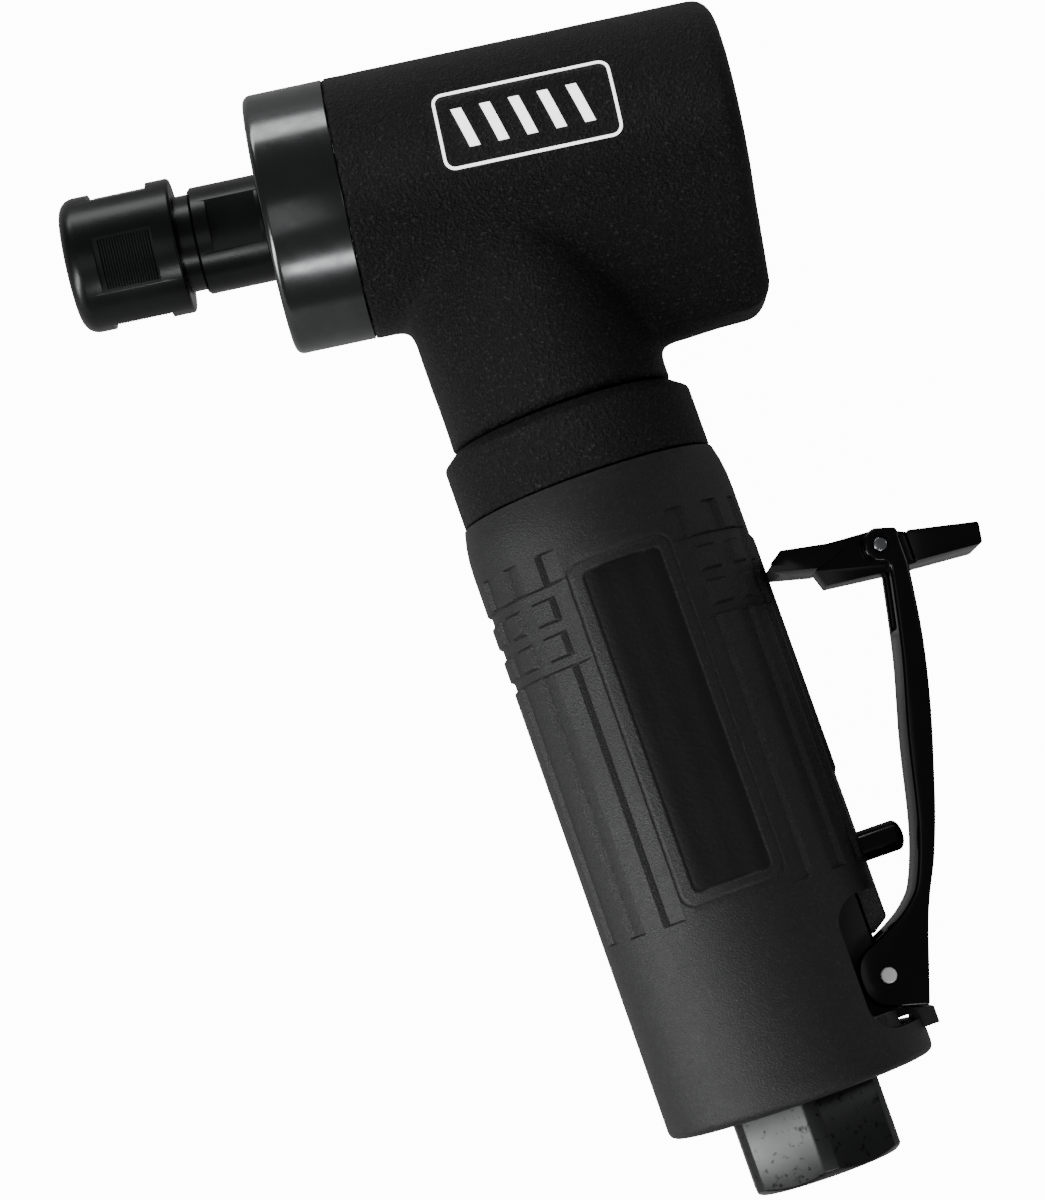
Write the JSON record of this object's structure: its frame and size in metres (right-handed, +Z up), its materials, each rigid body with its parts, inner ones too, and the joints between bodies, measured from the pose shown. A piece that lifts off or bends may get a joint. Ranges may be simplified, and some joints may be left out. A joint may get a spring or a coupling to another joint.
{
  "type": "die grinder",
  "caption": "Right-angle air die grinder with a ribbed round grip, a paddle throttle lever with a safety lock, a collet nut on an angled nose and a hexagon air inlet.",
  "frame": {"origin": "bottom centre of the bounding box, with the tool lying on its side", "axes": "+Y along the handle from the air inlet to the head, +X to the side that the throttle lever is on, away from the nose, +Z up, across the tool"},
  "size_m": [0.1106, 0.1722, 0.0392],
  "materials": {
    "head_black": "matte",
    "grip_rubber": "satin",
    "lever_black": "gloss",
    "plunger_black": "gloss",
    "black_oxide_steel": "satin",
    "gear_steel": "polished",
    "case_aluminium": "satin",
    "case_black": "matte",
    "cast_iron_grey": "satin",
    "brass": "satin",
    "black_rubber": "matte",
    "felt": "matte",
    "vane_fibre": "matte",
    "bright_steel": "satin"
  },
  "bodies": {
    "housing": {"head_housing": "head_black", "front_bearing_cap": "black_oxide_steel", "spindle_seal": "black_rubber", "pinion_spacer": "case_aluminium", "grip_sleeve": "grip_rubber", "lock_collar": "lever_black", "motor_case": "case_black", "inlet_bushing": "black_oxide_steel", "inlet_screen": "brass", "exhaust_deflector": "black_rubber", "muffler_felt": "felt", "valve_seat": "brass", "valve_spring": "bright_steel", "plunger_bushing": "brass", "plunger_seal": "black_rubber", "rear_end_plate": "cast_iron_grey", "cylinder_liner": "bright_steel", "dowel_pin": "bright_steel", "front_end_plate": "cast_iron_grey", "motor_clamp_ring": "bright_steel", "lever_pivot_pin": "bright_steel", "spindle_front_bearing_outer_ring": "bright_steel", "spindle_rear_bearing_outer_ring": "bright_steel", "pinion_bearing_outer_ring": "bright_steel", "rotor_front_bearing_outer_ring": "bright_steel", "rotor_rear_bearing_outer_ring": "bright_steel"},
    "spindle": {"spindle": "black_oxide_steel", "collet": "bright_steel", "driven_gear": "gear_steel", "spindle_spacer": "case_aluminium", "spindle_front_bearing_inner_ring": "bright_steel", "spindle_rear_bearing_inner_ring": "bright_steel"},
    "nut": {"collet_nut": "black_oxide_steel"},
    "rotor": {"rotor": "gear_steel", "rotor_vane_1": "vane_fibre", "rotor_vane_2": "vane_fibre", "rotor_vane_3": "vane_fibre", "rotor_vane_4": "vane_fibre", "pinion_gear": "gear_steel", "pinion_bearing_inner_ring": "bright_steel", "rotor_front_bearing_inner_ring": "bright_steel", "rotor_rear_bearing_inner_ring": "bright_steel"},
    "spindle_front_bearing_cage": {"spindle_front_bearing_ball_cage": "bright_steel"},
    "spindle_rear_bearing_cage": {"spindle_rear_bearing_ball_cage": "bright_steel"},
    "pinion_bearing_cage": {"pinion_bearing_ball_cage": "bright_steel"},
    "rotor_front_bearing_cage": {"rotor_front_bearing_ball_cage": "bright_steel"},
    "rotor_rear_bearing_cage": {"rotor_rear_bearing_ball_cage": "bright_steel"},
    "throttle": {"throttle_lever": "lever_black", "lock_pin": "bright_steel", "lock_spring": "bright_steel"},
    "lock": {"lock_lever": "lever_black"},
    "plunger": {"valve_plunger": "plunger_black"},
    "valve": {"throttle_valve": "brass"}
  },
  "joints": [
    {"name": "spindle_spin", "type": "hinge", "parent": "housing", "child": "spindle", "pos_m": [0.00529, 0.06354, 0.0196], "axis": [-0.992, 0.1259, 0], "continuous": true},
    {"name": "rotor_spin", "type": "hinge", "parent": "housing", "child": "rotor", "pos_m": [0.00529, -0.01488, 0.0196], "axis": [0, 1, 0], "continuous": true},
    {"name": "nut_loosen", "type": "hinge", "parent": "spindle", "child": "nut", "pos_m": [-0.0463, 0.07008, 0.0196], "axis": [-0.992, 0.1259, 0], "range_deg": [0, 270]},
    {"name": "spindle_front_bearing_roll", "type": "hinge", "parent": "housing", "child": "spindle_front_bearing_cage", "pos_m": [-0.01455, 0.06606, 0.0196], "axis": [-0.992, 0.1259, 0], "continuous": true},
    {"name": "spindle_rear_bearing_roll", "type": "hinge", "parent": "housing", "child": "spindle_rear_bearing_cage", "pos_m": [0.02513, 0.06102, 0.0196], "axis": [-0.992, 0.1259, 0], "continuous": true},
    {"name": "pinion_bearing_roll", "type": "hinge", "parent": "housing", "child": "pinion_bearing_cage", "pos_m": [0.00529, 0.02512, 0.0196], "axis": [0, 1, 0], "continuous": true},
    {"name": "rotor_front_bearing_roll", "type": "hinge", "parent": "housing", "child": "rotor_front_bearing_cage", "pos_m": [0.00529, 0.00012, 0.0196], "axis": [0, 1, 0], "continuous": true},
    {"name": "rotor_rear_bearing_roll", "type": "hinge", "parent": "housing", "child": "rotor_rear_bearing_cage", "pos_m": [0.00529, -0.03688, 0.0196], "axis": [0, 1, 0], "continuous": true},
    {"name": "throttle_press", "type": "hinge", "parent": "housing", "child": "throttle", "pos_m": [0.02189, -0.06288, 0.0196], "axis": [0, 0, 1], "range_deg": [0, 6.5], "stiffness_Nm_per_rad": 0.8},
    {"name": "lock_turn", "type": "hinge", "parent": "throttle", "child": "lock", "pos_m": [0.04119, -0.00578, 0.0196], "axis": [0, 0, 1], "range_deg": [0, 78], "stiffness_Nm_per_rad": 0.002},
    {"name": "plunger_push", "type": "slide", "parent": "housing", "child": "plunger", "axis": [-1, 0, 0], "range_m": [0, 0.0012]},
    {"name": "valve_tilt", "type": "hinge", "parent": "housing", "child": "valve", "pos_m": [0.00949, -0.05598, 0.0196], "axis": [0, 0, 1], "range_deg": [0, 6]}
  ],
  "couplings": [
    {"joint": "rotor_spin", "follows": "spindle_spin", "ratio": -1.3077},
    {"joint": "spindle_front_bearing_roll", "follows": "spindle_spin", "ratio": 0.431},
    {"joint": "spindle_rear_bearing_roll", "follows": "spindle_spin", "ratio": 0.424},
    {"joint": "pinion_bearing_roll", "follows": "spindle_spin", "ratio": -0.577},
    {"joint": "rotor_front_bearing_roll", "follows": "spindle_spin", "ratio": -0.599},
    {"joint": "rotor_rear_bearing_roll", "follows": "spindle_spin", "ratio": -0.578},
    {"joint": "lock_turn", "follows": "throttle_press", "ratio": 12},
    {"joint": "plunger_push", "follows": "throttle_press", "m_per_rad": 0.010401},
    {"joint": "valve_tilt", "follows": "throttle_press", "ratio": 0.8923}
  ]
}
